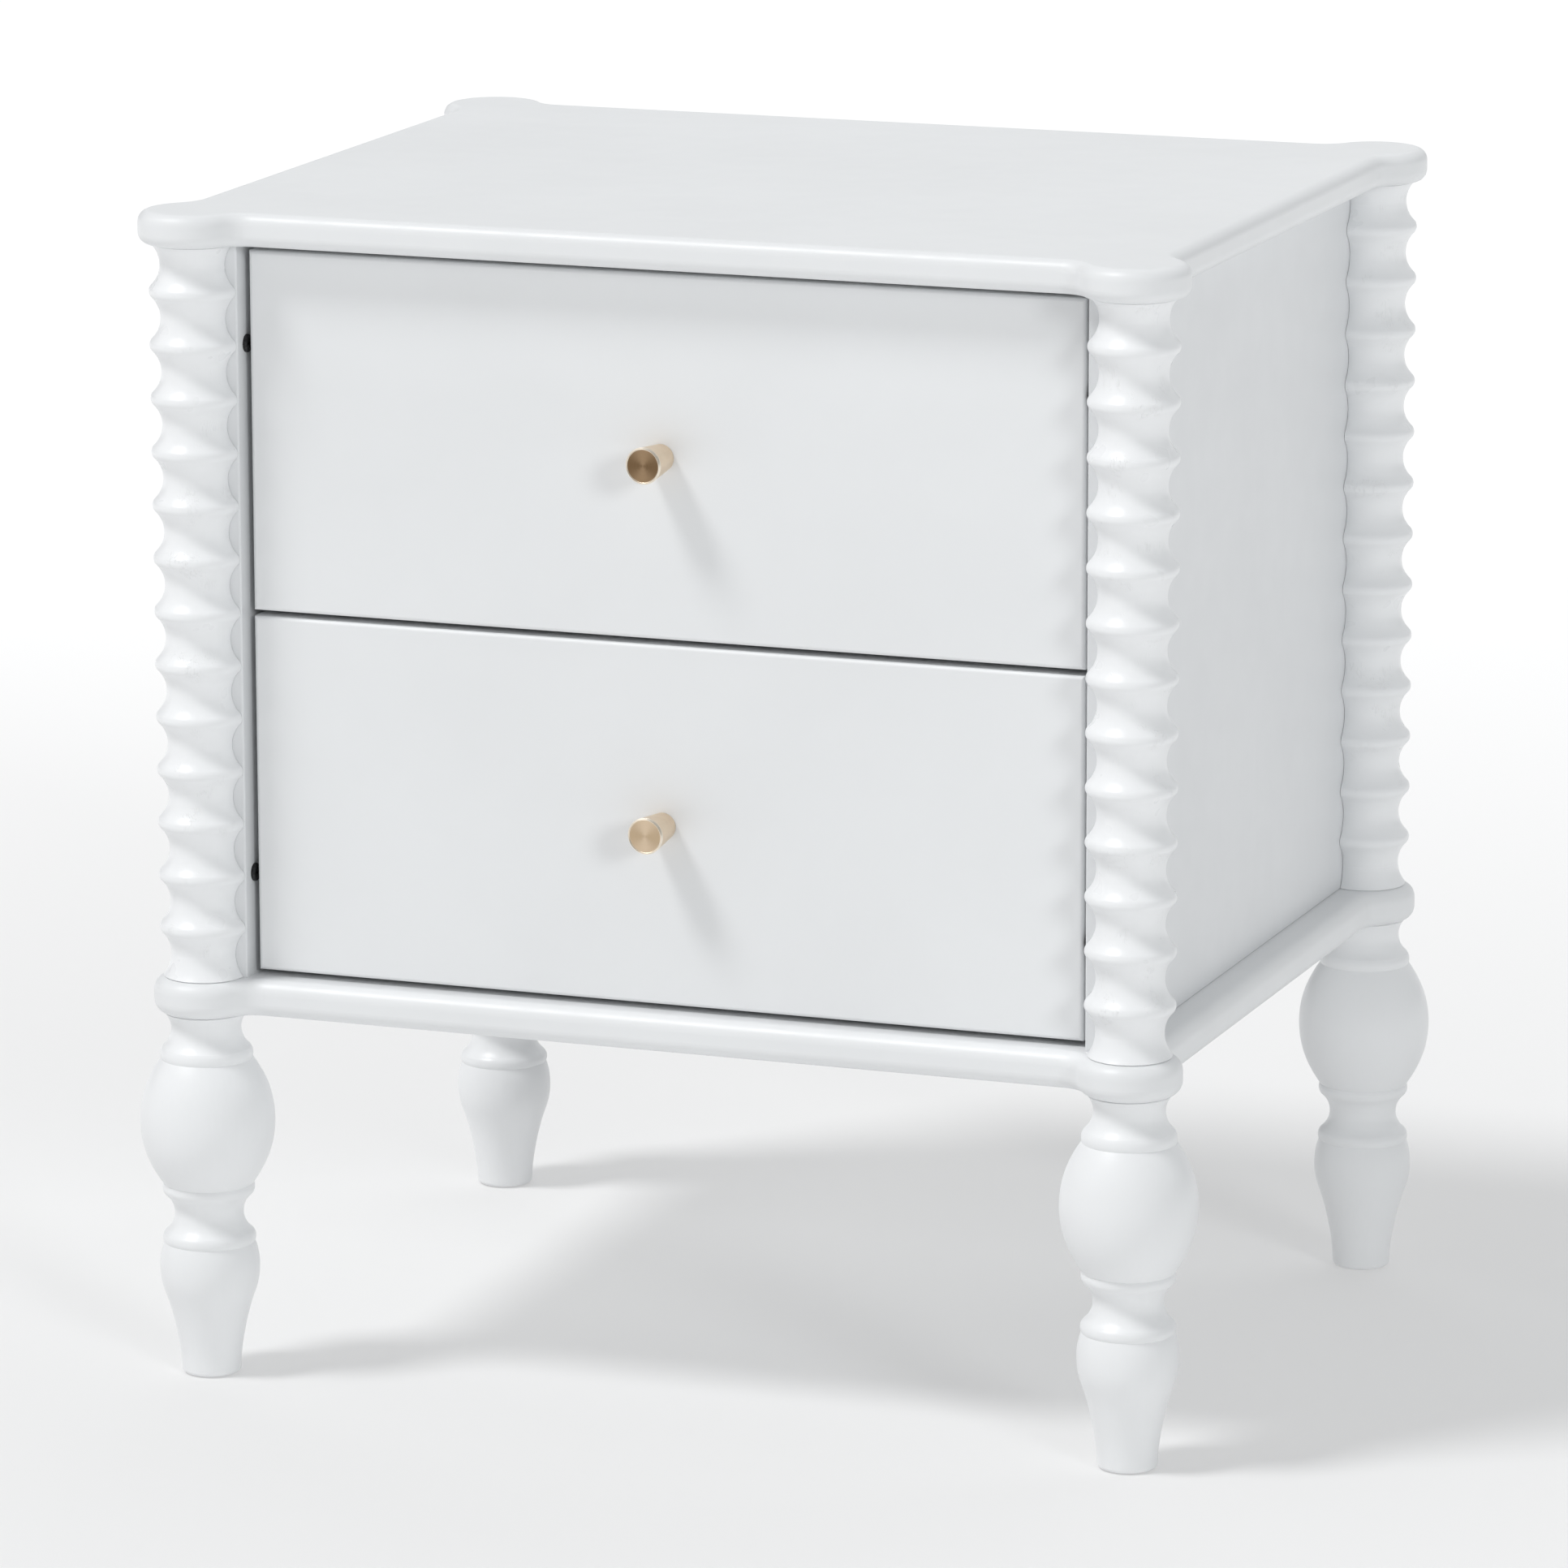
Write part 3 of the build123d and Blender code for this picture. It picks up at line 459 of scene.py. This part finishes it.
# darker and lighter tone of each knob's face: the upper one is painted browner, a painted reflection of a
# dark surround on brass that is the same on both knobs
FACE_TONES_WITH_PAINTED_REFLECTION = {"upper": ((0.20, 0.125, 0.065, 1), (0.36, 0.245, 0.145, 1)),
              "lower": ((0.58, 0.44, 0.29, 1), (0.72, 0.57, 0.41, 1))}


def make_knob(level):
    """Tapered turned knob, widest at its face: bevelled rim round a finely ringed, slightly dished face."""
    low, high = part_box("knob_" + level)
    z = (low.z + high.z) / 2
    wide = (high.x - low.x) / 2
    reach = high.y - low.y
    base = wide * KNOB_BASE_SHARE
    profile = [(0, 0), (base - 0.0004, 0), (base - 0.0001, 0.0001), (base, 0.0004)]
    for t in (0.02, 0.25, 0.5, 0.75, 0.98, 1.0):
        profile.append((base + (wide - base) * t, 0.0004 + (reach - 0.0014) * t))
    profile += [(wide - 0.0001, reach - 0.0009), (wide - 0.0005, reach - 0.0002), (wide - 0.0007, reach),
                (wide - 0.0008, reach), (wide - 0.0010, reach - 0.0003)]
    face = wide - 0.0011
    for i in range(FACE_RINGS):
        dish = 0.0004 + 0.0001 * i / FACE_RINGS - 0.000008 * (i % 2)
        profile.append((face * (1 - i / FACE_RINGS), reach - dish))
    profile.append((0, reach - 0.0005))
    bm = bmesh.new()
    lathe(bm, profile, (0, high.y, z), (0, -1, 0), 128)
    brass = turned_brass("turned_brass_" + level, z, low.y + 0.0006, face, FACE_TONES_WITH_PAINTED_REFLECTION[level])
    mesh = finish_mesh(bm, "knob_turned_" + level, 28)
    add_piece("knob_turned_" + level, mesh, "drawer_" + level, brass, ["knob_" + level])


def make_cage(level, name, strip_material, ball_material):
    """Pressed ball retainer: a strip with folded lips, and separate bright balls."""
    node = "slide_cage_%s_%s" % (level, name)
    low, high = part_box(node)
    sx = SIDES[name]
    ball_r, ball_in, end_room, balls = 0.0022, 0.0027, 0.008, 8
    start = high.x if sx > 0 else low.x
    web = 0.0008
    lip = high.x - low.x
    z = (low.z + high.z) / 2
    half = (high.z - low.z) / 2 - ball_r + 0.0004
    outline = [(0, -half + 0.0004), (0, half - 0.0004), (0.0004, half), (lip, half), (lip, half - web),
               (web + 0.0002, half - web), (web, half - web - 0.0002), (web, -half + web + 0.0002),
               (web + 0.0002, -half + web), (lip, -half + web), (lip, -half), (0.0004, -half)]
    bm = bmesh.new()
    ends = []
    for y in (low.y, high.y):
        ends.append([bm.verts.new((start - sx * d, y, z + h)) for d, h in outline])
    count = len(outline)
    for i in range(count):
        j = (i + 1) % count
        bm.faces.new((ends[0][i], ends[0][j], ends[1][j], ends[1][i]))
    for end in ends:
        for quad in ((0, 1, 6, 7), (1, 2, 5, 6), (2, 3, 4, 5), (7, 8, 11, 0), (8, 9, 10, 11)):
            bm.faces.new([end[i] for i in quad])
    strip = finish_mesh(bm, "ball_strip_%s_%s" % (level, name), 30)
    body = "ball_cage_%s_%s" % (level, name)
    add_piece("ball_strip_%s_%s" % (level, name), strip, body, strip_material, [node])
    bm = bmesh.new()
    step = (high.y - low.y - 2 * end_room) / (balls - 1)
    for i in range(balls):
        for up in (-1, 1):
            centre = (start - sx * ball_in, low.y + end_room + i * step, z + up * (half - web / 2))
            bmesh.ops.create_icosphere(bm, subdivisions=3, radius=ball_r, matrix=Matrix.Translation(centre))
    mesh = finish_mesh(bm, "balls_%s_%s" % (level, name), 80)
    add_piece("balls_%s_%s" % (level, name), mesh, body, ball_material)


def cross_screw(bm, seat, into, head_r, head_t, shank_r, length):
    """Pan-head screw with a cross recess: lathe the head, then push the cross's points in."""
    turn = Vector(into).to_track_quat("Z", "Y").to_matrix()
    first = len(bm.verts)
    profile = [(0, length), (shank_r * 0.5, length - shank_r), (shank_r, length - 2.5 * shank_r)]
    profile += [(shank_r, 0), (head_r, 0), (head_r, -head_t * 0.45), (head_r * 0.96, -head_t * 0.7)]
    profile.append((head_r * 0.86, -head_t * 0.9))
    rings = 14
    for i in range(rings):
        profile.append((head_r * 0.78 * (1 - i / rings), -head_t * (0.97 + 0.03 * i / rings)))
    profile.append((0, -head_t))
    lathe(bm, profile, seat, into, 64)
    bm.verts.ensure_lookup_table()
    back = turn.transposed()
    arm, width, depth = head_r * 0.52, head_r * 0.115, head_t * 0.62
    for v in bm.verts[first:]:
        local = back @ (v.co - Vector(seat))
        if local.z > -head_t * 0.93:
            continue
        a, b = abs(local.x), abs(local.y)
        if (a < arm and b < width) or (b < arm and a < width):
            reach = max(a, b) / arm
            v.co = Vector(seat) + turn @ Vector((local.x, local.y, local.z + depth * (1 - 0.55 * reach)))


def make_column_screws(name, material):
    """The black screws that hold the columns, in the places of the CAD ones."""
    sx = SIDES[name]
    low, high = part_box("column_screws_" + name)
    head_r, head_t, shank_r, length = 0.0046, 0.0020, 0.0020, 0.026
    ys = (low.y + head_r, high.y - head_r)
    zs = (low.z + head_r, high.z - head_r)
    face = abs(low.x if sx > 0 else high.x) + head_t
    bm = bmesh.new()
    for y in ys:
        for z in zs:
            cross_screw(bm, (sx * face, y, z), (sx, 0, 0), head_r, head_t, shank_r, length)
    mesh = finish_mesh(bm, "black_screws_" + name, 32)
    add_piece("black_screws_" + name, mesh, "case", material, ["column_screws_" + name])


make_camera()
make_world()
make_floor()
for light_name, light in SUNS.items():
    make_sun(light_name, *light)
dress_nodes()
strip_steel = rolled_steel("cage_strip", "y", (0.58, 0.59, 0.60), 0.34)
ball_steel = rolled_steel("ball_steel", "y", (0.72, 0.73, 0.75), 0.12)
black = black_oxide("black_oxide")
for level_name in LEVELS:
    make_knob(level_name)
    for side_name in SIDES:
        make_cage(level_name, side_name, strip_steel, ball_steel)
for side_name in SIDES:
    make_column_screws(side_name, black)

scene = bpy.context.scene
scene.view_settings.view_transform = "Standard"
scene.view_settings.look = "None"
